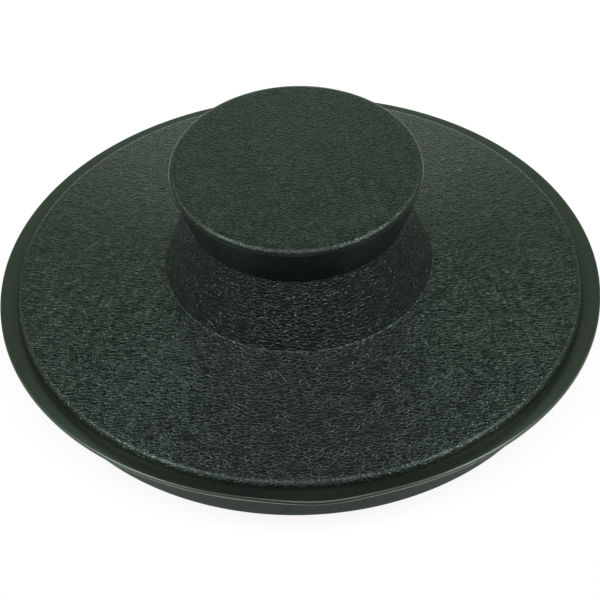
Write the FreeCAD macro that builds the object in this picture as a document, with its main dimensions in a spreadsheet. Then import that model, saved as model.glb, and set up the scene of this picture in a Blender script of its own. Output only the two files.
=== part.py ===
"""Drain stopper for a kitchen sink: a grained cover with an hourglass handle, a soft
seal ring and a spoked plug, all clamped by one screw from below. Millimetres, +Z up,
with the origin on the axis in the plane of the plug's foot."""
import FreeCAD, Part
import math
import os
import Sketcher

doc = FreeCAD.newDocument("drain_stopper")
sheet = doc.addObject("Spreadsheet::Sheet", "sizes")

SIZES = [
    # Plug: the skirt that drops into the drain throat, its land, spokes and tower
    ("plug_diameter", 79.4),
    ("plug_height", 6.0),
    ("plug_wall", 2.4),
    ("plug_foot_round", 0.3),
    ("plug_shoulder_round", 0.5),
    ("land_thickness", 1.8),
    ("clamp_width", 4.2),
    ("centring_rim_wall", 1.5),
    ("centring_rim_round", 0.2),
    ("centring_rim_gap", 0.4),
    ("centring_rim_clearance", 0.3),
    ("spoke_count", 4),
    ("spoke_angle", 45),
    ("spoke_thickness", 2.4),
    ("spoke_foot_gap", 0.6),
    ("spoke_cover_gap", 1.8),
    ("boss_wall", 2.5),
    ("boss_roof", 2.0),
    ("tower_wall", 3.3),
    # Seal ring: the clamped flat, the lip and the bead that seats on the drain
    ("seal_thickness", 1.6),
    ("lip_reach", 4.75),
    ("lip_droop", 0.4),
    ("lip_edge_thickness", 0.8),
    ("lip_edge_chamfer", 0.2),
    ("lip_taper_width", 1.45),
    ("seat_bead_gap", 0.9),
    ("seat_bead_drop", 0.3),
    # Cover: the shallow cone and the flared hub
    ("cover_reach", 2.2),
    ("cover_seat_width", 5.3),
    ("cover_edge_height", 1.1),
    ("cover_edge_round", 0.8),
    ("cover_rise", 4.6),
    ("cover_wall", 2.2),
    ("hub_base_diameter", 39.2),
    ("hub_base_round", 0.3),
    ("hub_height", 10.6),
    ("hub_wall", 2.2),
    ("hub_floor", 2.2),
    ("waist_diameter", 32.4),
    ("register_height", 1.4),
    ("register_wall", 1.5),
    ("register_clearance", 0.2),
    # Knob cap: the disc that is gripped, its bore, post and ribs
    ("knob_diameter", 37.6),
    ("knob_height", 8.2),
    ("knob_crown", 0.35),
    ("knob_edge_round", 0.75),
    ("knob_top", 2.2),
    ("knob_wall", 2.2),
    ("post_wall", 1.5),
    ("post_gap", 0.3),
    ("rib_count", 6),
    ("rib_thickness", 1.4),
    ("rib_gap", 0.5),
    # Threaded insert in the knob cap's post
    ("insert_wall", 1.05),
    ("insert_groove_width", 1.2),
    ("insert_groove_depth", 0.5),
    ("insert_hole_spare", 0.7),
    # Screw and washers
    ("screw_diameter", 4.8),
    ("screw_tip_chamfer", 0.6),
    ("screw_clearance", 0.3),
    ("thread_clearance", 0.05),
    ("head_diameter", 9.4),
    ("head_height", 3.4),
    ("head_round", 1.5),
    ("head_sink", 0.2),
    ("drive_width", 5.0),
    ("drive_slot", 1.1),
    ("drive_depth", 2.2),
    ("washer_overhang", 0.5),
    ("washer_clearance", 0.3),
    ("flat_washer_thickness", 1.0),
    ("rubber_washer_thickness", 1.3),
]
for row, (alias, number) in enumerate(SIZES, start=1):
    sheet.set(f"A{row}", alias)
    sheet.set(f"B{row}", str(number))
    sheet.setAlias(f"B{row}", alias)
doc.recompute()

# Radii of the plug, ring and cover, as expressions of the sheet
PLUG = "sizes.plug_diameter / 2"
SKIRT_INSIDE = f"{PLUG} - sizes.plug_wall"
SKIRT_MIDDLE = f"{PLUG} - sizes.plug_wall / 2"
SEAL_BORE = f"{PLUG} - sizes.clamp_width"
RIM_OUTSIDE = f"{SEAL_BORE} - sizes.centring_rim_clearance"
RIM_INSIDE = f"{RIM_OUTSIDE} - sizes.centring_rim_wall"
RIM_MIDDLE = f"{RIM_OUTSIDE} - sizes.centring_rim_wall / 2"
LIP = f"{PLUG} + sizes.lip_reach"
BEAD_INSIDE = f"{PLUG} + sizes.seat_bead_gap"
BEAD_OUTSIDE = f"{LIP} - sizes.lip_taper_width"
COVER = f"{PLUG} + sizes.cover_reach"
COVER_SEAT_INSIDE = f"{COVER} - sizes.cover_seat_width"

# Radii of the handle
HUB_BASE = "sizes.hub_base_diameter / 2"
HUB_CAVITY_BASE = f"{HUB_BASE} - sizes.hub_wall"
WAIST = "sizes.waist_diameter / 2"
HUB_TAPER = f"({HUB_BASE} - {WAIST}) / sizes.hub_height"
HUB_CAVITY_TOP = f"{WAIST} - sizes.hub_wall + sizes.hub_floor * {HUB_TAPER}"
KNOB = "sizes.knob_diameter / 2"
KNOB_BORE = f"{WAIST} - sizes.knob_wall"
KNOB_WALL_MIDDLE = f"{WAIST} - sizes.knob_wall / 2"
REGISTER_OUTSIDE = f"{KNOB_BORE} - sizes.register_clearance"
REGISTER_INSIDE = f"{REGISTER_OUTSIDE} - sizes.register_wall"

# Radii of the screw and of what it passes through
SCREW = "sizes.screw_diameter / 2"
SCREW_HOLE = f"{SCREW} + sizes.screw_clearance"
HEAD = "sizes.head_diameter / 2"
DRIVE = "sizes.drive_width / 2"
WASHER = f"{HEAD} + sizes.washer_overhang"
COUNTERBORE = f"{WASHER} + sizes.washer_clearance"
BOSS = f"{COUNTERBORE} + sizes.boss_wall"
TOWER = f"{SCREW_HOLE} + sizes.tower_wall"
INSERT_THREAD = f"{SCREW} + sizes.thread_clearance"
INSERT = f"{INSERT_THREAD} + sizes.insert_wall"
INSERT_GROOVE = f"{INSERT} - sizes.insert_groove_depth"
POST = f"{INSERT} + sizes.post_wall"

# Levels above the plug's foot
LAND = "sizes.plug_height"
LAND_UNDERSIDE = f"{LAND} - sizes.land_thickness"
LAND_MIDDLE = f"{LAND} - sizes.land_thickness / 2"
COVER_SEAT = f"{LAND} + sizes.seal_thickness"
RIM_TOP = f"{COVER_SEAT} - sizes.centring_rim_gap"
LIP_EDGE_TOP = f"{COVER_SEAT} - sizes.lip_droop"
LIP_EDGE_BOTTOM = f"{LIP_EDGE_TOP} - sizes.lip_edge_thickness"
BEAD = f"{LAND} - sizes.seat_bead_drop"
COVER_EDGE = f"{COVER_SEAT} + sizes.cover_edge_height"
CREASE = f"{COVER_EDGE} + sizes.cover_rise"
COVER_UNDERSIDE = f"{CREASE} - sizes.cover_wall"
SPOKE_CROWN = f"{COVER_UNDERSIDE} - sizes.spoke_cover_gap"
WAIST_LEVEL = f"{CREASE} + sizes.hub_height"
HUB_CEILING = f"{WAIST_LEVEL} - sizes.hub_floor"
REGISTER_TOP = f"{WAIST_LEVEL} + sizes.register_height"
RIB_FOOT = f"{REGISTER_TOP} + sizes.rib_gap"
KNOB_LEVEL = f"{WAIST_LEVEL} + sizes.knob_height"
KNOB_EDGE = f"{KNOB_LEVEL} - sizes.knob_crown"
KNOB_CEILING = f"{KNOB_LEVEL} - sizes.knob_top"
KNOB_TOP_MIDDLE = f"{KNOB_LEVEL} - sizes.knob_top / 2"
POST_FOOT = f"{WAIST_LEVEL} + sizes.post_gap"
INSERT_TOP = f"{KNOB_CEILING} - sizes.insert_hole_spare"
INSERT_MIDDLE = f"({POST_FOOT} + {INSERT_TOP}) / 2"
GROOVE_FOOT = f"{INSERT_MIDDLE} - sizes.insert_groove_width / 2"
GROOVE_TOP = f"{INSERT_MIDDLE} + sizes.insert_groove_width / 2"
SPOKE_FOOT = "sizes.spoke_foot_gap"
HEAD_FOOT = f"{SPOKE_FOOT} + sizes.head_sink"
DRIVE_END = f"{HEAD_FOOT} + sizes.drive_depth"
HEAD_SEAT = f"{HEAD_FOOT} + sizes.head_height"
RUBBER_SEAT = f"{HEAD_SEAT} + sizes.flat_washer_thickness"
BOSS_CEILING = f"{RUBBER_SEAT} + sizes.rubber_washer_thickness"
BOSS_TOP = f"{BOSS_CEILING} + sizes.boss_roof"
BOSS_SHOULDER = f"{BOSS_TOP} + {BOSS} - ({TOWER})"


def value(expression):
    return float(sheet.evalExpression(expression))


def new_body(label):
    body = doc.addObject("PartDesign::Body", label)
    body.Label = label
    return body


def origin_feature(body, role):
    return next(item for item in body.Origin.OriginFeatures if item.Role == role)


def hold_corner(sketch, line, axis, direction, expression):
    """Ties the start of a line to an axis, or to its distance from the origin."""
    if expression == "0":
        sketch.addConstraint(Sketcher.Constraint("PointOnObject", line, 1, axis))
        return
    index = sketch.addConstraint(Sketcher.Constraint(direction, -1, 1, line, 1, value(expression)))
    sketch.setExpression(f"Constraints[{index}]", expression)


def crown_arc(edge, peak):
    """An arc from an edge up to its peak on the axis, where it is level."""
    rise = peak.y - edge.y
    radius = (edge.x ** 2 + rise ** 2) / (2 * rise)
    centre = FreeCAD.Vector(0, peak.y - radius, 0)
    start = (edge - centre).getAngle(FreeCAD.Vector(1, 0, 0))
    circle = Part.Circle(centre, FreeCAD.Vector(0, 0, 1), radius)
    return Part.ArcOfCircle(circle, start, math.pi / 2)


def half_section(body, name, corners, turn=None, crowned=None):
    """A closed outline on the plane through the axis, as (radius, level): straight runs, and
    a crown that rises from the given corner to the next one, which lies on the axis."""
    sketch = body.newObject("Sketcher::SketchObject", name)
    sketch.AttachmentSupport = [(origin_feature(body, "XZ_Plane"), "")]
    sketch.MapMode = "FlatFace"
    if turn:
        sketch.AttachmentOffset = FreeCAD.Placement(
            FreeCAD.Vector(), FreeCAD.Rotation(FreeCAD.Vector(0, 1, 0), value(turn)))
        sketch.setExpression("AttachmentOffset.Rotation.Angle", turn)
    points = [FreeCAD.Vector(value(radius), value(level), 0) for radius, level in corners]
    for corner, start, end in zip(corners, points, points[1:] + points[:1]):
        sketch.addGeometry(crown_arc(start, end) if corner == crowned else Part.LineSegment(start, end))
    for line in range(len(corners)):
        following = (line + 1) % len(corners)
        sketch.addConstraint(Sketcher.Constraint("Coincident", line, 2, following, 1))
    for line, (radius, level) in enumerate(corners):
        hold_corner(sketch, line, -2, "DistanceX", radius)
        hold_corner(sketch, line, -1, "DistanceY", level)
    if crowned:
        sketch.addConstraint(Sketcher.Constraint("PointOnObject", corners.index(crowned), 3, -2))
    return sketch


def turned(body, kind, name, corners, crowned=None):
    """A full turn of a half section about the vertical axis: added, or cut as a groove."""
    sketch = half_section(body, f"{name}_section", corners, crowned=crowned)
    feature = body.newObject(kind, name)
    feature.Profile = sketch
    feature.ReferenceAxis = (sketch, ["V_Axis"])
    feature.Angle = 360
    doc.recompute()
    return feature


def web(body, kind, name, corners, thickness, count, turn=None):
    """An upright web or slot across the axis plane, repeated round the axis."""
    sketch = half_section(body, f"{name}_section", corners, turn)
    feature = body.newObject(kind, name)
    feature.Profile = sketch
    feature.SideType = "Symmetric"
    feature.setExpression("Length", thickness)
    doc.recompute()
    pattern = body.newObject("PartDesign::PolarPattern", f"{name}_pattern")
    pattern.Originals = [feature]
    pattern.Axis = (origin_feature(body, "Z_Axis"), [""])
    pattern.Angle = 360
    pattern.setExpression("Occurrences", count)
    body.Tip = pattern
    doc.recompute()
    return pattern


def round_rings(body, name, radius, rings):
    """Rounds the circular edges that lie at the given (radius, level) places."""
    base = body.Tip
    wanted = [(value(ring), value(level)) for ring, level in rings]
    names = []
    for number, edge in enumerate(base.Shape.Edges, start=1):
        if edge.Degenerated or not isinstance(edge.Curve, Part.Circle):
            continue
        for ring, level in wanted:
            place = FreeCAD.Vector(edge.Curve.Radius - ring, 0, edge.Curve.Center.z - level)
            if place.Length < base.Shape.getTolerance(1):
                names.append(f"Edge{number}")
    fillet = body.newObject("PartDesign::Fillet", name)
    fillet.Base = (base, names)
    fillet.setExpression("Radius", radius)
    doc.recompute()
    return fillet


def make_plug():
    """Lower body: skirt with a land for the seal, spokes, and a boss and tower for the screw."""
    body = new_body("plug")
    turned(body, "PartDesign::Revolution", "skirt", [
        (SKIRT_INSIDE, "0"),
        (PLUG, "0"),
        (PLUG, LAND),
        (RIM_OUTSIDE, LAND),
        (RIM_OUTSIDE, RIM_TOP),
        (RIM_INSIDE, RIM_TOP),
        (RIM_INSIDE, LAND_UNDERSIDE),
        (SKIRT_INSIDE, LAND_UNDERSIDE),
    ])
    round_rings(body, "foot_round", "sizes.plug_foot_round", [(PLUG, "0"), (SKIRT_INSIDE, "0")])
    round_rings(body, "shoulder_round", "sizes.plug_shoulder_round", [(PLUG, LAND)])
    round_rings(body, "rim_round", "sizes.centring_rim_round", [(RIM_OUTSIDE, RIM_TOP), (RIM_INSIDE, RIM_TOP)])
    web(body, "PartDesign::Pad", "spoke", [
        ("0", SPOKE_FOOT),
        (SKIRT_MIDDLE, SPOKE_FOOT),
        (SKIRT_MIDDLE, LAND_MIDDLE),
        (RIM_MIDDLE, LAND),
        (HUB_CAVITY_BASE, SPOKE_CROWN),
        ("0", SPOKE_CROWN),
    ], "sizes.spoke_thickness", "sizes.spoke_count", "sizes.spoke_angle")
    turned(body, "PartDesign::Revolution", "tower", [
        ("0", SPOKE_FOOT),
        (BOSS, SPOKE_FOOT),
        (BOSS, BOSS_TOP),
        (TOWER, BOSS_SHOULDER),
        (TOWER, HUB_CEILING),
        ("0", HUB_CEILING),
    ])
    turned(body, "PartDesign::Groove", "screw_bore", [
        ("0", "0"),
        (COUNTERBORE, "0"),
        (COUNTERBORE, BOSS_CEILING),
        (SCREW_HOLE, BOSS_CEILING),
        (SCREW_HOLE, WAIST_LEVEL),
        ("0", WAIST_LEVEL),
    ])
    return body


def make_seal_ring():
    """Rubber ring: a flat clamped between plug and cover, a thin drooping lip and a seating bead."""
    body = new_body("seal_ring")
    turned(body, "PartDesign::Revolution", "ring", [
        (SEAL_BORE, LAND),
        (f"{BEAD_INSIDE} - sizes.seat_bead_drop", LAND),
        (BEAD_INSIDE, BEAD),
        (BEAD_OUTSIDE, BEAD),
        (f"{LIP} - sizes.lip_edge_chamfer", LIP_EDGE_BOTTOM),
        (LIP, f"{LIP_EDGE_BOTTOM} + sizes.lip_edge_chamfer"),
        (LIP, f"{LIP_EDGE_TOP} - sizes.lip_edge_chamfer"),
        (f"{LIP} - sizes.lip_edge_chamfer", LIP_EDGE_TOP),
        (COVER, COVER_SEAT),
        (SEAL_BORE, COVER_SEAT),
    ])
    return body


def make_cover():
    """Shallow cone and flared hub in one moulding, hollow below, with a register for the knob cap."""
    body = new_body("cover")
    turned(body, "PartDesign::Revolution", "shell", [
        (SCREW_HOLE, HUB_CEILING),
        (HUB_CAVITY_TOP, HUB_CEILING),
        (HUB_CAVITY_BASE, COVER_UNDERSIDE),
        (COVER_SEAT_INSIDE, COVER_SEAT),
        (COVER, COVER_SEAT),
        (COVER, COVER_EDGE),
        (HUB_BASE, CREASE),
        (WAIST, WAIST_LEVEL),
        (REGISTER_OUTSIDE, WAIST_LEVEL),
        (REGISTER_OUTSIDE, REGISTER_TOP),
        (REGISTER_INSIDE, REGISTER_TOP),
        (REGISTER_INSIDE, WAIST_LEVEL),
        (SCREW_HOLE, WAIST_LEVEL),
    ])
    round_rings(body, "edge_round", "sizes.cover_edge_round", [(COVER, COVER_EDGE)])
    round_rings(body, "hub_round", "sizes.hub_base_round", [(HUB_BASE, CREASE)])
    return body


def make_knob_cap():
    """Cap with a slightly crowned top, widening upwards and bored from below, with a ribbed post."""
    body = new_body("knob_cap")
    turned(body, "PartDesign::Revolution", "cap", [
        ("0", KNOB_CEILING),
        (KNOB_BORE, KNOB_CEILING),
        (KNOB_BORE, WAIST_LEVEL),
        (WAIST, WAIST_LEVEL),
        (KNOB, KNOB_EDGE),
        ("0", KNOB_LEVEL),
    ], crowned=(KNOB, KNOB_EDGE))
    round_rings(body, "knob_round", "sizes.knob_edge_round", [(KNOB, KNOB_EDGE)])
    web(body, "PartDesign::Pad", "rib", [
        ("0", RIB_FOOT),
        (KNOB_WALL_MIDDLE, RIB_FOOT),
        (KNOB_WALL_MIDDLE, KNOB_TOP_MIDDLE),
        ("0", KNOB_TOP_MIDDLE),
    ], "sizes.rib_thickness", "sizes.rib_count")
    turned(body, "PartDesign::Revolution", "post", [
        ("0", POST_FOOT),
        (POST, POST_FOOT),
        (POST, KNOB_TOP_MIDDLE),
        ("0", KNOB_TOP_MIDDLE),
    ])
    turned(body, "PartDesign::Groove", "insert_hole", [
        ("0", WAIST_LEVEL),
        (INSERT, WAIST_LEVEL),
        (INSERT, KNOB_CEILING),
        ("0", KNOB_CEILING),
    ])
    return body


def make_knob_insert():
    """Brass threaded insert pressed into the post, with a holding groove round its middle."""
    body = new_body("knob_insert")
    turned(body, "PartDesign::Revolution", "sleeve", [
        (INSERT_THREAD, POST_FOOT),
        (INSERT, POST_FOOT),
        (INSERT, GROOVE_FOOT),
        (INSERT_GROOVE, GROOVE_FOOT),
        (INSERT_GROOVE, GROOVE_TOP),
        (INSERT, GROOVE_TOP),
        (INSERT, INSERT_TOP),
        (INSERT_THREAD, INSERT_TOP),
    ])
    return body


def make_clamp_screw():
    """Pan-head screw from below, with a cross recess, through plug and cover into the insert."""
    body = new_body("clamp_screw")
    turned(body, "PartDesign::Revolution", "screw", [
        ("0", HEAD_FOOT),
        (HEAD, HEAD_FOOT),
        (HEAD, HEAD_SEAT),
        (SCREW, HEAD_SEAT),
        (SCREW, f"{INSERT_TOP} - sizes.screw_tip_chamfer"),
        (f"{SCREW} - sizes.screw_tip_chamfer", INSERT_TOP),
        ("0", INSERT_TOP),
    ])
    round_rings(body, "head_edge_round", "sizes.head_round", [(HEAD, HEAD_FOOT)])
    web(body, "PartDesign::Pocket", "drive_recess", [
        ("0", "0"),
        (DRIVE, "0"),
        (DRIVE, HEAD_FOOT),
        ("sizes.drive_slot", DRIVE_END),
        ("0", DRIVE_END),
    ], "sizes.drive_slot", "4")
    return body


def make_washer(label, bottom, top):
    """Flat ring on the screw, between its head and the roof of the counterbore."""
    body = new_body(label)
    turned(body, "PartDesign::Revolution", f"{label}_ring", [
        (SCREW_HOLE, bottom),
        (WASHER, bottom),
        (WASHER, top),
        (SCREW_HOLE, top),
    ])
    return body


pieces = [
    make_plug(),
    make_seal_ring(),
    make_cover(),
    make_knob_cap(),
    make_knob_insert(),
    make_clamp_screw(),
    make_washer("flat_washer", HEAD_SEAT, RUBBER_SEAT),
    make_washer("rubber_washer", RUBBER_SEAT, BOSS_CEILING),
]
doc.recompute()

for item in doc.Objects:
    if "Invalid" in item.State or "Error" in item.State:
        raise RuntimeError(f"{item.Label} failed: {item.State}")
for piece in pieces:
    if piece.Shape.isNull() or not piece.Shape.isValid() or len(piece.Shape.Solids) != 1:
        raise RuntimeError(f"{piece.Label} is not one valid solid")

os.makedirs("parts", exist_ok=True)
for piece in pieces:
    piece.Shape.exportStep(f"parts/{piece.Label}.step")
    print(f"{piece.Label}: {piece.Shape.Volume / 1000:.3f} cm3, {len(piece.Shape.Faces)} faces")
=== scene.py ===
import math

import bmesh
import bpy
from mathutils import Matrix, Vector


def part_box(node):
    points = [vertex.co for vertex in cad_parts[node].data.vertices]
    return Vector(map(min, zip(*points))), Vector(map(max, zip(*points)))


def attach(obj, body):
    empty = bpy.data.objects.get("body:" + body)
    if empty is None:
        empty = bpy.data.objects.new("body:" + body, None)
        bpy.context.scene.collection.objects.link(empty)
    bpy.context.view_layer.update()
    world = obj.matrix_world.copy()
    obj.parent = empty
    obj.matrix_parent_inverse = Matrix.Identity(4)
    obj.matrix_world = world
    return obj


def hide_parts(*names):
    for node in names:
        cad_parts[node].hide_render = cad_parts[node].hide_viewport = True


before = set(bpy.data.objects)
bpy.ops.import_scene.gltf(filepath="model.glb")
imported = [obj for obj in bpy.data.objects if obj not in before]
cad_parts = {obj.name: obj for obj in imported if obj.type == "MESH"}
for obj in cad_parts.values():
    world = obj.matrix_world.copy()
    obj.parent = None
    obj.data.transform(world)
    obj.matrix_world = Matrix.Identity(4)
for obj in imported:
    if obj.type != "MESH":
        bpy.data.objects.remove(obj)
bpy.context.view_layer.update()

# Threaded insert
# A turned brass bush with a tapped bore, knurled outside and pressed warm into the post of the knob cap.
# It is hidden once the stopper is together, and is seen only when the stack is taken apart.
MM = 0.001


def linear(hex_colour):
    """The linear RGBA of an sRGB colour written as six hex digits."""
    parts = [int(hex_colour[i:i + 2], 16) / 255 for i in (0, 2, 4)]
    return [p / 12.92 if p <= 0.04045 else ((p + 0.055) / 1.055) ** 2.4 for p in parts] + [1.0]


def add(tree, kind, feeds=None, **settings):
    """Adds one node: settings are its properties, and feeds fill its inputs with values or links."""
    made = tree.nodes.new(kind)
    for name, value in settings.items():
        setattr(made, name, value)
    for name, value in (feeds or {}).items():
        if isinstance(value, bpy.types.NodeSocket):
            tree.links.new(value, made.inputs[name])
        else:
            made.inputs[name].default_value = value
    return made


def new_material(name):
    """An empty node material, its tree and the object's own coordinates in millimetres."""
    material = bpy.data.materials.new(name)
    material.use_nodes = True
    tree = material.node_tree
    tree.nodes.clear()
    place = add(tree, "ShaderNodeTexCoord")
    in_mm = add(tree, "ShaderNodeVectorMath", {0: place.outputs["Object"], "Scale": 1 / MM},
                operation="SCALE")
    return material, tree, in_mm.outputs[0]


# Turned brass: a warm yellow metal with fine rings from the tool and a slight tarnish in patches.
# The real rings are under 0.1 mm apart, and are drawn coarser so that they show.
def turned_brass():
    material, tree, spot = new_material("turned_brass")
    bare = linear("c9a04e")
    tarnished = linear("a8803c")
    tarnish_mm = 2.5
    tool_ring_mm = 0.25
    tool_mark_mm = 0.01
    ring_at_scale_one = 0.31
    rings = add(tree, "ShaderNodeTexWave", {
        "Vector": spot, "Scale": ring_at_scale_one / tool_ring_mm, "Distortion": 0.4},
        wave_type="BANDS", bands_direction="Z")
    patches = add(tree, "ShaderNodeTexNoise", {"Vector": spot, "Scale": 1 / tarnish_mm, "Detail": 3.0})
    colour = add(tree, "ShaderNodeMix", {"Factor": patches.outputs["Fac"], "A": bare, "B": tarnished},
                 data_type="RGBA")
    rough = add(tree, "ShaderNodeMapRange", {"Value": patches.outputs["Fac"], "To Min": 0.22, "To Max": 0.4})
    bump = add(tree, "ShaderNodeBump", {
        "Height": rings.outputs["Fac"], "Strength": 0.4, "Distance": tool_mark_mm * MM})
    brass = add(tree, "ShaderNodeBsdfPrincipled", {
        "Base Color": colour.outputs["Result"], "Metallic": 1.0, "Roughness": rough.outputs["Result"],
        "Normal": bump.outputs["Normal"]})
    add(tree, "ShaderNodeOutputMaterial", {"Surface": brass.outputs["BSDF"]})
    return material


def dress_node(node, material):
    """Gives a CAD piece that keeps its own mesh one material all over."""
    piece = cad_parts[node]
    piece.data.materials.clear()
    piece.data.materials.append(material)


dress_node("knob_insert", turned_brass())


# Knob cap
# The flat-topped cap that is gripped: one hollow ABS moulding whose wall widens upwards, with a
# leather grain on the top and a polished wall. A post inside takes the insert, and ribs tie it to the wall.
CAP_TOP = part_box("knob_cap")[1].z / MM
CAP_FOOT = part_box("knob_cap")[0].z / MM
CAP_FOOT_RADIUS = 16.2
CAP_FOOT_ROUND = 0.1
CAP_TOP_RADIUS = 18.85
CAP_CROWN = 0.35
CAP_EDGE = CAP_TOP - CAP_CROWN
# A little rounder than the solid, because the edge's highlight is wider in the photograph.
CAP_EDGE_ROUND = 0.9
CAP_GRAIN_FROM = CAP_EDGE - 0.6 * CAP_EDGE_ROUND
CAP_BORE = 14.0
CAP_CEILING = CAP_TOP - 2.2
POST_RADIUS = 5.0
POST_FOOT = CAP_FOOT + 0.3
INSERT_HOLE = 3.5
INSERT_HOLE_TOP = CAP_FOOT + 5.4
RIB_COUNT = 6
RIB_THICKNESS = 1.4
RIB_FOOT = CAP_FOOT + 1.9
RIB_TOP = CAP_CEILING + 0.5
RIB_INNER = POST_RADIUS - 0.5
RIB_OUTER = CAP_BORE + 0.8
# A section that meets the axis stops this far from it, so that no face shrinks to a line.
AXIS_GAP = 0.02


def rounded(corners, longest=1.0, turn=math.radians(9)):
    """A closed section with its corners rounded and its straights cut short.

    Each corner is (radius, height) or (radius, height, rounding), in millimetres.
    """
    path = []
    count = len(corners)
    for i in range(count):
        before, here, after = (Vector(corners[(i + k) % count][:2]) for k in (-1, 0, 1))
        rounding = corners[i][2] if len(corners[i]) > 2 else 0.0
        if not rounding:
            path.append(here)
            continue
        back = (before - here).normalized()
        ahead = (after - here).normalized()
        half = back.angle(ahead) / 2
        centre = here + (back + ahead).normalized() * rounding / math.sin(half)
        reach = rounding / math.tan(half)
        first = here + back * reach - centre
        sweep = first.angle_signed(here + ahead * reach - centre)
        steps = max(2, math.ceil(abs(sweep) / turn))
        for k in range(steps + 1):
            spin = Matrix.Rotation(-sweep * k / steps, 2)
            path.append(centre + spin @ first)
    filled = []
    for i, here in enumerate(path):
        after = path[(i + 1) % len(path)]
        parts = max(1, math.ceil((after - here).length / longest))
        filled += [here.lerp(after, k / parts) for k in range(parts)]
    return filled


def turned(name, section, steps=288):
    """A closed mesh made by turning a section of points in millimetres about the Z axis."""
    shape = bmesh.new()
    rings = []
    for k in range(steps):
        angle = 2 * math.pi * k / steps
        rings.append([shape.verts.new((p.x * MM * math.cos(angle), p.x * MM * math.sin(angle), p.y * MM))
                      for p in section])
    for k, ring in enumerate(rings):
        following = rings[(k + 1) % steps]
        for i in range(len(section)):
            j = (i + 1) % len(section)
            shape.faces.new((ring[i], following[i], following[j], ring[j]))
    bmesh.ops.recalc_face_normals(shape, faces=shape.faces)
    return new_piece(name, shape)


def new_piece(name, shape):
    """Turns a finished bmesh into a named object in the scene."""
    mesh = bpy.data.meshes.new(name)
    shape.to_mesh(mesh)
    shape.free()
    piece = bpy.data.objects.new(name, mesh)
    bpy.context.scene.collection.objects.link(piece)
    return piece


def upright_web(name, outline, thickness, angle):
    """A flat web that stands on edge, turned to its angle.

    Its outline is given as (radius, height) points in millimetres.
    """
    shape = bmesh.new()
    sides = [[shape.verts.new((r * MM, side * thickness / 2 * MM, z * MM)) for r, z in outline]
             for side in (-1, 1)]
    shape.faces.new(sides[0])
    shape.faces.new(sides[1][::-1])
    for i in range(len(outline)):
        j = (i + 1) % len(outline)
        shape.faces.new((sides[0][j], sides[0][i], sides[1][i], sides[1][j]))
    shape.transform(Matrix.Rotation(angle, 4, "Z"))
    bmesh.ops.recalc_face_normals(shape, faces=shape.faces)
    return new_piece(name, shape)


def fuse(piece, others):
    """Joins closed meshes into one moulding, so that no face is left inside it."""
    for other in others:
        union = piece.modifiers.new("union", "BOOLEAN")
        union.operation = "UNION"
        union.solver = "EXACT"
        union.object = other
    bpy.context.view_layer.update()
    graph = bpy.context.evaluated_depsgraph_get()
    whole = bpy.data.meshes.new_from_object(piece.evaluated_get(graph))
    piece.modifiers.clear()
    piece.data = whole
    whole.name = piece.name
    for other in others:
        bpy.data.objects.remove(other)


def smooth(piece, sharpest=math.radians(24)):
    """Shades a mesh smooth, apart from the edges where its faces meet at a plain corner."""
    piece.data.shade_smooth()
    piece.data.set_sharp_from_angle(angle=sharpest)


def mark_grain(piece, share):
    """Stores the depth of the grain at each point, as a share of the material's, by radius and height."""
    grain = piece.data.attributes.new("grain", "FLOAT", "POINT")
    for point, value in zip(piece.data.vertices, grain.data):
        value.value = share(math.hypot(point.co.x, point.co.y) / MM, point.co.z / MM)


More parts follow.
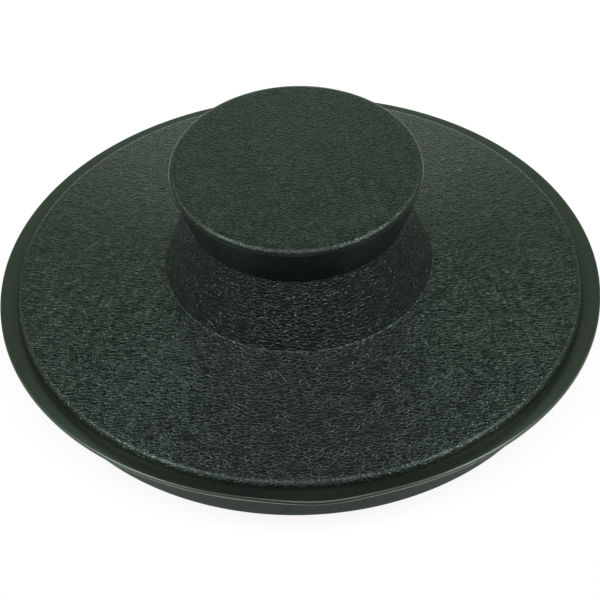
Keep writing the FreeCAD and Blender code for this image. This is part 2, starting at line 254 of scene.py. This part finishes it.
# Moulded ABS: a greenish black with a soft gloss. The mould is etched with a leather grain, whose
# narrow valleys break the gloss into short glints, and its colour is even apart from a faint mottle.
# The gloss is that of a handled piece, a little under the full shine of new ABS.
def moulded_abs(name, cell_mm, depth_mm, roughness, dark, light, mottle_mm=9.0, swing=0.015):
    material, tree, spot = new_material(name)
    stretch = 2.0
    wall_mm = 0.105
    wander_mm = 1.7 * cell_mm
    patch_mm = 1.5
    shallow = 0.55
    deep = 1.45
    handled_shine = 0.425
    wander = add(tree, "ShaderNodeTexNoise", {"Vector": spot, "Scale": 1 / wander_mm, "Detail": 2.0})
    centred = add(tree, "ShaderNodeVectorMath", {0: wander.outputs["Color"], 1: (0.5, 0.5, 0.5)},
                  operation="SUBTRACT")
    pulled = add(tree, "ShaderNodeVectorMath", {0: centred.outputs[0], "Scale": cell_mm}, operation="SCALE")
    bent = add(tree, "ShaderNodeVectorMath", {0: spot, 1: pulled.outputs[0]}, operation="ADD")
    drawn = add(tree, "ShaderNodeVectorMath", {0: bent.outputs[0], 1: (1 / stretch, 1.0, 1.0)},
                operation="MULTIPLY")
    cells = add(tree, "ShaderNodeTexVoronoi", {"Vector": drawn.outputs[0], "Scale": 1 / cell_mm},
                feature="DISTANCE_TO_EDGE")
    height = add(tree, "ShaderNodeMapRange", {
        "Value": cells.outputs["Distance"], "From Max": wall_mm / cell_mm},
        interpolation_type="SMOOTHSTEP")
    patches = add(tree, "ShaderNodeTexNoise", {"Vector": spot, "Scale": 1 / patch_mm, "Detail": 1.0})
    uneven = add(tree, "ShaderNodeMapRange", {
        "Value": patches.outputs["Fac"], "From Min": 0.3, "From Max": 0.7,
        "To Min": shallow, "To Max": deep})
    share = add(tree, "ShaderNodeAttribute", attribute_name="grain")
    depth = add(tree, "ShaderNodeMath", {0: uneven.outputs["Result"], 1: share.outputs["Fac"]},
                operation="MULTIPLY")
    cut = add(tree, "ShaderNodeMath", {0: height.outputs["Result"], 1: depth.outputs[0]},
              operation="MULTIPLY")
    bump = add(tree, "ShaderNodeBump", {"Height": cut.outputs[0], "Distance": depth_mm * MM})
    mottle = add(tree, "ShaderNodeTexNoise", {"Vector": spot, "Scale": 1 / mottle_mm, "Detail": 4.0})
    spread = add(tree, "ShaderNodeMapRange", {
        "Value": mottle.outputs["Fac"], "From Min": 0.35, "From Max": 0.65})
    colour = add(tree, "ShaderNodeMix", {
        "Factor": spread.outputs["Result"], "A": linear(dark), "B": linear(light)}, data_type="RGBA")
    gloss = add(tree, "ShaderNodeMapRange", {
        "Value": spread.outputs["Result"], "To Min": roughness - swing, "To Max": roughness + swing})
    plastic = add(tree, "ShaderNodeBsdfPrincipled", {
        "Base Color": colour.outputs["Result"], "Roughness": gloss.outputs["Result"], "IOR": 1.54,
        "Specular IOR Level": handled_shine, "Specular Tint": linear("dcffe6"),
        "Normal": bump.outputs["Normal"]})
    add(tree, "ShaderNodeOutputMaterial", {"Surface": plastic.outputs["BSDF"]})
    return material


def finish_piece(piece, node, material):
    """Dresses a piece, lets it stand for its CAD node and fixes it to the body."""
    piece.data.materials.clear()
    piece.data.materials.append(material)
    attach(piece, "root")
    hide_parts(node)


knob_cap = turned("knob_cap_moulding", rounded([
    (INSERT_HOLE, POST_FOOT),
    (POST_RADIUS, POST_FOOT),
    (POST_RADIUS, CAP_CEILING),
    (CAP_BORE, CAP_CEILING),
    (CAP_BORE, CAP_FOOT),
    (CAP_FOOT_RADIUS, CAP_FOOT, CAP_FOOT_ROUND),
    (CAP_TOP_RADIUS, CAP_EDGE, CAP_EDGE_ROUND),
    (AXIS_GAP, CAP_EDGE),
    (AXIS_GAP, INSERT_HOLE_TOP),
    (INSERT_HOLE, INSERT_HOLE_TOP),
]))
for point in knob_cap.data.vertices:
    if point.co.z > CAP_GRAIN_FROM * MM:
        out = math.hypot(point.co.x, point.co.y) / MM / CAP_TOP_RADIUS
        point.co.z += CAP_CROWN * max(0.0, 1 - out ** 2) * MM
rib = [(RIB_INNER, RIB_FOOT), (RIB_OUTER, RIB_FOOT), (RIB_OUTER, RIB_TOP), (RIB_INNER, RIB_TOP)]
fuse(knob_cap, [upright_web(f"rib_{k + 1}", rib, RIB_THICKNESS, 2 * math.pi * k / RIB_COUNT)
                for k in range(RIB_COUNT)])
smooth(knob_cap)
mark_grain(knob_cap, lambda radius, height: 1.0 if height > CAP_GRAIN_FROM else 0.0)
finish_piece(knob_cap, "knob_cap", moulded_abs(
    "abs_fine_leather_grain_moulded", cell_mm=0.44, depth_mm=0.031, roughness=0.27,
    dark="111713", light="151b16"))


# Cover
# The shallow cone and the flared hub in one ABS moulding, hollow below, with the deep leather grain
# all over. Its rounded rim bears on the sealing ring, and a spigot on top centres the knob cap.
RIM_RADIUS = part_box("cover")[1].x / MM
RIM_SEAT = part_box("cover")[0].z / MM
RIM_TOP = RIM_SEAT + 1.1
# A little rounder than the solid, because the rim's highlight is wider in the photograph.
RIM_ROUND = 1.05
SEAT_INNER = 36.6
HUB_FOOT_RADIUS = 19.6
HUB_FOOT = 13.3
HUB_FOOT_ROUND = 0.3
HOLLOW_FOOT_RADIUS = 17.4
HOLLOW_FOOT = 11.1
HOLLOW_TOP_RADIUS = 14.71
WAIST_RADIUS = 16.2
WAIST = CAP_FOOT
WAIST_ROUND = 0.1
HUB_FLOOR = WAIST - 2.2
SPIGOT_OUTER = 13.8
SPIGOT_INNER = 12.3
SPIGOT_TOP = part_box("cover")[1].z / MM
SCREW_HOLE = 2.7
HUB_GRAIN = 2.0
HUB_GRAIN_FROM = HUB_FOOT + 0.2
RIM_GRAIN_LOSS = 0.2
RIM_GRAIN_FROM = 40.3
RIM_GRAIN_FADE = 0.7


def cover_grain(radius, height):
    """The grain is cut twice as deep on the hub, and it is a little shallower where the rim rounds off."""
    if height > HUB_GRAIN_FROM:
        return HUB_GRAIN
    return 1.0 - RIM_GRAIN_LOSS * min(1.0, max(0.0, (radius - RIM_GRAIN_FROM) / RIM_GRAIN_FADE))


cover = turned("cover_moulding", rounded([
    (SCREW_HOLE, HUB_FLOOR),
    (HOLLOW_TOP_RADIUS, HUB_FLOOR),
    (HOLLOW_FOOT_RADIUS, HOLLOW_FOOT),
    (SEAT_INNER, RIM_SEAT),
    (RIM_RADIUS, RIM_SEAT),
    (RIM_RADIUS, RIM_TOP, RIM_ROUND),
    (HUB_FOOT_RADIUS, HUB_FOOT, HUB_FOOT_ROUND),
    (WAIST_RADIUS, WAIST, WAIST_ROUND),
    (SPIGOT_OUTER, WAIST),
    (SPIGOT_OUTER, SPIGOT_TOP),
    (SPIGOT_INNER, SPIGOT_TOP),
    (SPIGOT_INNER, WAIST),
    (SCREW_HOLE, WAIST),
]))
smooth(cover)
mark_grain(cover, cover_grain)
finish_piece(cover, "cover", moulded_abs(
    "abs_leather_grain_moulded", cell_mm=0.47, depth_mm=0.052, roughness=0.24,
    dark="0a0f0c", light="0d120f"))


# Sealing ring
# A soft nitrile ring, compression moulded smooth and clamped between the cover and the plug. Its thin lip
# covers the drain: it steps down at the rim, lies nearly flat, and has curled up a little at the front.
LIP_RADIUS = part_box("seal_ring")[1].x / MM
RING_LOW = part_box("seal_ring")[0].z / MM
RING_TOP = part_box("seal_ring")[1].z / MM
RING_BORE = 35.5
RING_UNDERSIDE = 6.0
BEAD_FOOT_RADIUS = 40.3
BEAD_INNER = 40.6
BEAD_OUTER = 43.0
LIP_ROOT_TOP = 7.18
LIP_EDGE_TOP = 7.2
LIP_EDGE_BOTTOM = 6.4
LIP_EDGE_CUT = 0.2
LIP_EDGE_ROUND = 0.1
LIP_STEPS = 576
CURL_LIFT = 1.25
CURL_WIDTH = 45
CURL_POWER = 1.5
DIP_DEPTH = 0.8
DIP_CENTRE = 3
DIP_WIDTH = 9
LIP_SAG = 0.1


# Nitrile rubber: a greenish black with a soft sheen from a smooth mould, and a faint bloom that greys it
# in patches. Its IOR is matched upwards from the usual 1.52 to the sheen of the lip. The real skin is
# finer than 0.1 mm, and is drawn coarser so that it shows.
def nitrile_rubber():
    material, tree, spot = new_material("nitrile_rubber_smooth_moulded")
    clean = linear("141a15")
    bloomed = linear("181e19")
    bloom_mm = 6.0
    skin_mm = 0.3
    skin_depth_mm = 0.01
    bloom = add(tree, "ShaderNodeTexNoise", {"Vector": spot, "Scale": 1 / bloom_mm, "Detail": 5.0})
    skin = add(tree, "ShaderNodeTexNoise", {"Vector": spot, "Scale": 1 / skin_mm, "Detail": 2.0})
    colour = add(tree, "ShaderNodeMix", {"Factor": bloom.outputs["Fac"], "A": clean, "B": bloomed},
                 data_type="RGBA")
    gloss = add(tree, "ShaderNodeMapRange", {"Value": bloom.outputs["Fac"], "To Min": 0.26, "To Max": 0.34})
    bump = add(tree, "ShaderNodeBump", {
        "Height": skin.outputs["Fac"], "Strength": 0.3, "Distance": skin_depth_mm * MM})
    rubber = add(tree, "ShaderNodeBsdfPrincipled", {
        "Base Color": colour.outputs["Result"], "Roughness": gloss.outputs["Result"], "IOR": 1.63,
        "Specular Tint": linear("e0ffda"), "Normal": bump.outputs["Normal"]})
    add(tree, "ShaderNodeOutputMaterial", {"Surface": rubber.outputs["BSDF"]})
    return material


seal_ring = turned("seal_ring_moulding", rounded([
    (RING_BORE, RING_UNDERSIDE),
    (BEAD_FOOT_RADIUS, RING_UNDERSIDE),
    (BEAD_INNER, RING_LOW),
    (BEAD_OUTER, RING_LOW),
    (LIP_RADIUS - LIP_EDGE_CUT, LIP_EDGE_BOTTOM, LIP_EDGE_ROUND),
    (LIP_RADIUS, LIP_EDGE_BOTTOM + LIP_EDGE_CUT, LIP_EDGE_ROUND),
    (LIP_RADIUS, LIP_EDGE_TOP - LIP_EDGE_CUT, LIP_EDGE_ROUND),
    (LIP_RADIUS - LIP_EDGE_CUT, LIP_EDGE_TOP, LIP_EDGE_ROUND),
    (RIM_RADIUS, LIP_ROOT_TOP),
    (RIM_RADIUS, RING_TOP),
    (RING_BORE, RING_TOP),
]), steps=LIP_STEPS)


def lip_lift(angle):
    """How far the soft lip has curled up, in millimetres, by the angle from the front in degrees."""
    curl = CURL_LIFT * math.exp(-(angle / CURL_WIDTH) ** 2)
    dip = DIP_DEPTH * math.exp(-((angle - DIP_CENTRE) / DIP_WIDTH) ** 2)
    return curl - dip - LIP_SAG


for point in seal_ring.data.vertices:
    along = (math.hypot(point.co.x, point.co.y) / MM - RIM_RADIUS) / (LIP_RADIUS - RIM_RADIUS)
    if along > 0:
        from_front = math.degrees(math.atan2(point.co.x, -point.co.y))
        point.co.z += along ** CURL_POWER * lip_lift(from_front) * MM
smooth(seal_ring)
rubber = nitrile_rubber()
finish_piece(seal_ring, "seal_ring", rubber)


# Plug
# The lower body that drops into the throat of the drain: an ABS skirt with a land for the ring,
# four spokes and a boss whose tower reaches up into the hub. Its faces come from a polished mould.
PLUG_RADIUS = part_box("plug")[1].x / MM
PLUG_FOOT = 0.0
SKIRT_BORE = 37.3
SKIRT_ROUND = 0.3
LAND = 6.0
LAND_EDGE_ROUND = 0.5
LAND_UNDERSIDE = 4.2
CENTRING_OUTER = 35.2
CENTRING_INNER = 33.7
CENTRING_TOP = 7.2
CENTRING_ROUND = 0.2
BOSS_BORE = 5.5
BOSS_CEILING = 6.5
BOSS_FOOT = 0.6
BOSS_RADIUS = 8.0
BOSS_ROUND = 0.3
BOSS_TOP = 8.5
TOWER_RADIUS = 6.0
TOWER_FOOT = 10.5
TOWER_TOP = 21.7
TOWER_STEPS = 96
SPOKE_COUNT = 4
SPOKE_THICKNESS = 2.4
SPOKE_TURN = 45
SPOKE_INNER = 6.5
SPOKE_OUTER = 36.0
SPOKE_OUTER_TOP = 5.5
SPOKE_LAND_RADIUS = 34.45
SPOKE_HIP_RADIUS = 17.4
SPOKE_TOP = 9.3
# The wall is not quite even where the polish of the mould has worn.
WALL_UNEVENNESS = 0.3

plug = turned("plug_moulding", rounded([
    (SKIRT_BORE, PLUG_FOOT, SKIRT_ROUND),
    (PLUG_RADIUS, PLUG_FOOT, SKIRT_ROUND),
    (PLUG_RADIUS, LAND, LAND_EDGE_ROUND),
    (CENTRING_OUTER, LAND),
    (CENTRING_OUTER, CENTRING_TOP, CENTRING_ROUND),
    (CENTRING_INNER, CENTRING_TOP, CENTRING_ROUND),
    (CENTRING_INNER, LAND_UNDERSIDE),
    (SKIRT_BORE, LAND_UNDERSIDE),
]))
tower = turned("tower", rounded([
    (SCREW_HOLE, BOSS_CEILING),
    (BOSS_BORE, BOSS_CEILING),
    (BOSS_BORE, BOSS_FOOT),
    (BOSS_RADIUS, BOSS_FOOT, BOSS_ROUND),
    (BOSS_RADIUS, BOSS_TOP),
    (TOWER_RADIUS, TOWER_FOOT),
    (TOWER_RADIUS, TOWER_TOP),
    (SCREW_HOLE, TOWER_TOP),
]), steps=TOWER_STEPS)
spoke = [
    (SPOKE_INNER, BOSS_FOOT),
    (SPOKE_OUTER, BOSS_FOOT),
    (SPOKE_OUTER, SPOKE_OUTER_TOP),
    (SPOKE_LAND_RADIUS, LAND),
    (SPOKE_HIP_RADIUS, SPOKE_TOP),
    (SPOKE_INNER, SPOKE_TOP),
]
spokes = [upright_web(f"spoke_{k + 1}", spoke, SPOKE_THICKNESS,
                      math.radians(SPOKE_TURN + 360 / SPOKE_COUNT * k)) for k in range(SPOKE_COUNT)]
fuse(plug, [tower] + spokes)
smooth(plug)
mark_grain(plug, lambda radius, height: WALL_UNEVENNESS)
finish_piece(plug, "plug", moulded_abs(
    "abs_polished_moulded", cell_mm=1.0, depth_mm=0.05, roughness=0.34,
    dark="040705", light="1b211d", mottle_mm=3.5, swing=0.08))


# Washers and screw
# One pan-head screw of stainless steel pulls the stack together from below, over a plain stainless washer and
# a rubber washer that keeps water from following the screw.


# Turned stainless steel: a bright neutral grey with rings from the tool round the axis and soft smears.
# The real rings are under 0.1 mm apart, and are drawn coarser so that they show.
def turned_stainless():
    material, tree, spot = new_material("turned_stainless_steel")
    bright = linear("c4c3bf")
    smeared = linear("b2b1ad")
    smear_mm = 3.0
    tool_ring_mm = 0.3
    tool_mark_mm = 0.005
    away = add(tree, "ShaderNodeVectorMath", {0: spot, 1: (1.0, 1.0, 0.0)}, operation="MULTIPLY")
    radius = add(tree, "ShaderNodeVectorMath", {0: away.outputs[0]}, operation="LENGTH")
    turns = add(tree, "ShaderNodeMath", {0: radius.outputs["Value"], 1: 2 * math.pi / tool_ring_mm},
                operation="MULTIPLY")
    rings = add(tree, "ShaderNodeMath", {0: turns.outputs[0]}, operation="SINE")
    smears = add(tree, "ShaderNodeTexNoise", {"Vector": spot, "Scale": 1 / smear_mm, "Detail": 3.0})
    colour = add(tree, "ShaderNodeMix", {"Factor": smears.outputs["Fac"], "A": bright, "B": smeared},
                 data_type="RGBA")
    rough = add(tree, "ShaderNodeMapRange", {"Value": smears.outputs["Fac"], "To Min": 0.22, "To Max": 0.36})
    bump = add(tree, "ShaderNodeBump", {
        "Height": rings.outputs[0], "Strength": 0.3, "Distance": tool_mark_mm * MM})
    steel = add(tree, "ShaderNodeBsdfPrincipled", {
        "Base Color": colour.outputs["Result"], "Metallic": 1.0, "Roughness": rough.outputs["Result"],
        "Normal": bump.outputs["Normal"]})
    add(tree, "ShaderNodeOutputMaterial", {"Surface": steel.outputs["BSDF"]})
    return material


stainless = turned_stainless()
dress_node("rubber_washer", rubber)
dress_node("flat_washer", stainless)
dress_node("clamp_screw", stainless)


# Stage
# A white card under the stopper, a dim studio with a light strip over the front, white cards at the sides
# and a pale wall behind, two softboxes high on the left and right, and the camera of the photograph.
CARD_WIDTH = 0.11
CARD_NEAR_EDGE = -0.050
CARD_FAR_EDGE = 1.50
SHADOW_SHARE = 0.12

card = bmesh.new()
card.faces.new([card.verts.new((side * CARD_WIDTH / 2, y, 0)) for side, y in (
    (-1, CARD_NEAR_EDGE), (1, CARD_NEAR_EDGE), (1, CARD_FAR_EDGE), (-1, CARD_FAR_EDGE))])
floor = new_piece("white_card", card)
paper = bpy.data.materials.new("white_paper")
paper.use_nodes = True
tree = paper.node_tree
tree.nodes.clear()
rays = add(tree, "ShaderNodeLightPath")
seen = add(tree, "ShaderNodeMath", {0: rays.outputs["Is Camera Ray"], 1: rays.outputs["Is Glossy Ray"]},
           operation="MAXIMUM")
seen = add(tree, "ShaderNodeMath", {0: seen.outputs[0], 1: rays.outputs["Is Transmission Ray"]},
           operation="MAXIMUM")
share = add(tree, "ShaderNodeMath", {0: seen.outputs[0], 1: 1 - SHADOW_SHARE}, operation="MULTIPLY")
matte = add(tree, "ShaderNodeBsdfDiffuse", {"Color": linear("f4f4f4")})
white = add(tree, "ShaderNodeEmission", {"Color": (1, 1, 1, 1), "Strength": 1.0})
mixed = add(tree, "ShaderNodeMixShader", {0: share.outputs[0], 1: matte.outputs[0], 2: white.outputs[0]})
add(tree, "ShaderNodeOutputMaterial", {"Surface": mixed.outputs[0]})
floor.data.materials.append(paper)

# The tints of the studio's parts, and its light by pitch: the degrees from the horizon in front over the top
# to the horizon behind, the level of light there, and its tint.
LOWEST = -60
HIGHEST = 180
FRONT = "f2f2ff"
STRIP = "fff0fb"
CEILING = "f4fff6"
WALL = "ecfff1"
WALL_FOOT = "e2ffea"
STUDIO = (
    (LOWEST, 0.08, FRONT), (-43, 0.10, FRONT), (-34, 0.45, FRONT), (-26, 0.75, FRONT), (-15, 0.45, FRONT),
    (-6, 0.20, FRONT), (5, 0.15, FRONT),
    (24, 0.50, STRIP), (45, 2.3, STRIP), (64, 3.8, STRIP), (84, 2.1, STRIP),
    (94, 0.52, CEILING), (104, 0.40, CEILING),
    (113, 0.25, WALL), (123, 0.03, WALL), (129, 0.08, WALL), (134, 0.14, WALL), (141, 0.61, WALL),
    (148, 0.66, WALL),
    (155, 1.00, WALL_FOOT), (162, 1.32, WALL_FOOT), (HIGHEST, 1.05, WALL_FOOT),
)
# The wall dims away from the middle, and the white cards take over at the sides, brighter higher up.
DIM_FROM = 0.08
DIM_TO = 0.30
DIM_LEVEL = 0.57
CARDS_FROM = 0.40
CARDS_TO = 0.75
CARDS_BOTTOM = -0.10
CARDS_TOP = 0.55
CARDS_BOTTOM_LEVEL = 0.24
CARDS_TOP_LEVEL = 1.2

world = bpy.data.worlds.new("studio")
bpy.context.scene.world = world
world.use_nodes = True
tree = world.node_tree
tree.nodes.clear()
way = add(tree, "ShaderNodeTexCoord")
split = add(tree, "ShaderNodeSeparateXYZ", {0: way.outputs["Generated"]})
front = add(tree, "ShaderNodeMath", {0: split.outputs["Y"], 1: -1.0}, operation="MULTIPLY")
pitch = add(tree, "ShaderNodeMath", {0: split.outputs["Z"], 1: front.outputs[0]}, operation="ARCTAN2")
turn = add(tree, "ShaderNodeMapRange", {
    "Value": pitch.outputs[0], "From Min": math.radians(LOWEST), "From Max": math.radians(HIGHEST)})
room = add(tree, "ShaderNodeValToRGB", {0: turn.outputs["Result"]})
marks = room.color_ramp.elements
marks.remove(marks[1])
for degrees, level, tint in STUDIO:
    mark = marks[0] if degrees == LOWEST else marks.new((degrees - LOWEST) / (HIGHEST - LOWEST))
    mark.color = [level * part for part in linear(tint)]
aside = add(tree, "ShaderNodeMath", {0: split.outputs["X"]}, operation="ABSOLUTE")
gap = add(tree, "ShaderNodeMapRange", {
    "Value": aside.outputs[0], "From Min": DIM_FROM, "From Max": DIM_TO, "To Min": 1.0, "To Max": DIM_LEVEL},
    interpolation_type="SMOOTHSTEP")
room = add(tree, "ShaderNodeVectorMath", {0: room.outputs["Color"], "Scale": gap.outputs["Result"]},
           operation="SCALE")
sides = add(tree, "ShaderNodeMapRange", {
    "Value": aside.outputs[0], "From Min": CARDS_FROM, "From Max": CARDS_TO},
    interpolation_type="SMOOTHSTEP")
climb = add(tree, "ShaderNodeMapRange", {
    "Value": split.outputs["Z"], "From Min": CARDS_BOTTOM, "From Max": CARDS_TOP,
    "To Min": CARDS_BOTTOM_LEVEL, "To Max": CARDS_TOP_LEVEL}, interpolation_type="SMOOTHSTEP")
cards = add(tree, "ShaderNodeVectorMath", {0: linear(WALL)[:3], "Scale": climb.outputs["Result"]},
            operation="SCALE")
room = add(tree, "ShaderNodeMix", {
    "Factor": sides.outputs["Result"], "A": room.outputs[0], "B": cards.outputs[0]}, data_type="RGBA")
rays = add(tree, "ShaderNodeLightPath")
sky = add(tree, "ShaderNodeMix", {
    "Factor": rays.outputs["Is Camera Ray"], "A": room.outputs["Result"], "B": (1, 1, 1, 1)},
    data_type="RGBA")
backdrop = add(tree, "ShaderNodeBackground", {"Color": sky.outputs["Result"], "Strength": 1.0})
add(tree, "ShaderNodeOutputWorld", {"Surface": backdrop.outputs[0]})

BOX_SIZE = 0.30
BOX_POWER = 2.75
BOX_COLOUR = (0.95, 0.84, 1.0)
BOX_ASIDE = 0.46
BOX_FRONT = -0.16
BOX_HEIGHT = 0.53
for side in (-1, 1):
    lamp = bpy.data.lights.new("softbox", "AREA")
    lamp.shape = "SQUARE"
    lamp.size = BOX_SIZE
    lamp.energy = BOX_POWER
    lamp.color = BOX_COLOUR
    softbox = bpy.data.objects.new("softbox", lamp)
    softbox.location = (side * BOX_ASIDE, BOX_FRONT, BOX_HEIGHT)
    softbox.rotation_euler = (-Vector(softbox.location)).to_track_quat("-Z", "Y").to_euler()
    bpy.context.scene.collection.objects.link(softbox)

CAMERA_ELEVATION = math.radians(42.77)
CAMERA_DISTANCE = 0.700
CAMERA_ROLL = math.radians(-1.9)
CAMERA_TARGET = Vector((0, 0, 7.2 * MM))
SENSOR_WIDTH = 36.0
LENS_LENGTH = 283.4
LENS_SHIFT_X = 0.0001
LENS_SHIFT_Y = -0.0155
lens = bpy.data.cameras.new("photo_camera")
lens.sensor_width = SENSOR_WIDTH
lens.lens = LENS_LENGTH
lens.shift_x = LENS_SHIFT_X
lens.shift_y = LENS_SHIFT_Y
camera = bpy.data.objects.new("photo_camera", lens)
away = Vector((0, -math.cos(CAMERA_ELEVATION), math.sin(CAMERA_ELEVATION)))
camera.location = CAMERA_TARGET + away * CAMERA_DISTANCE
aim = (-away).to_track_quat("-Z", "Y").to_matrix() @ Matrix.Rotation(CAMERA_ROLL, 3, "Z")
camera.rotation_euler = aim.to_euler()
bpy.context.scene.collection.objects.link(camera)
bpy.context.scene.camera = camera
bpy.context.scene.view_settings.view_transform = "Standard"
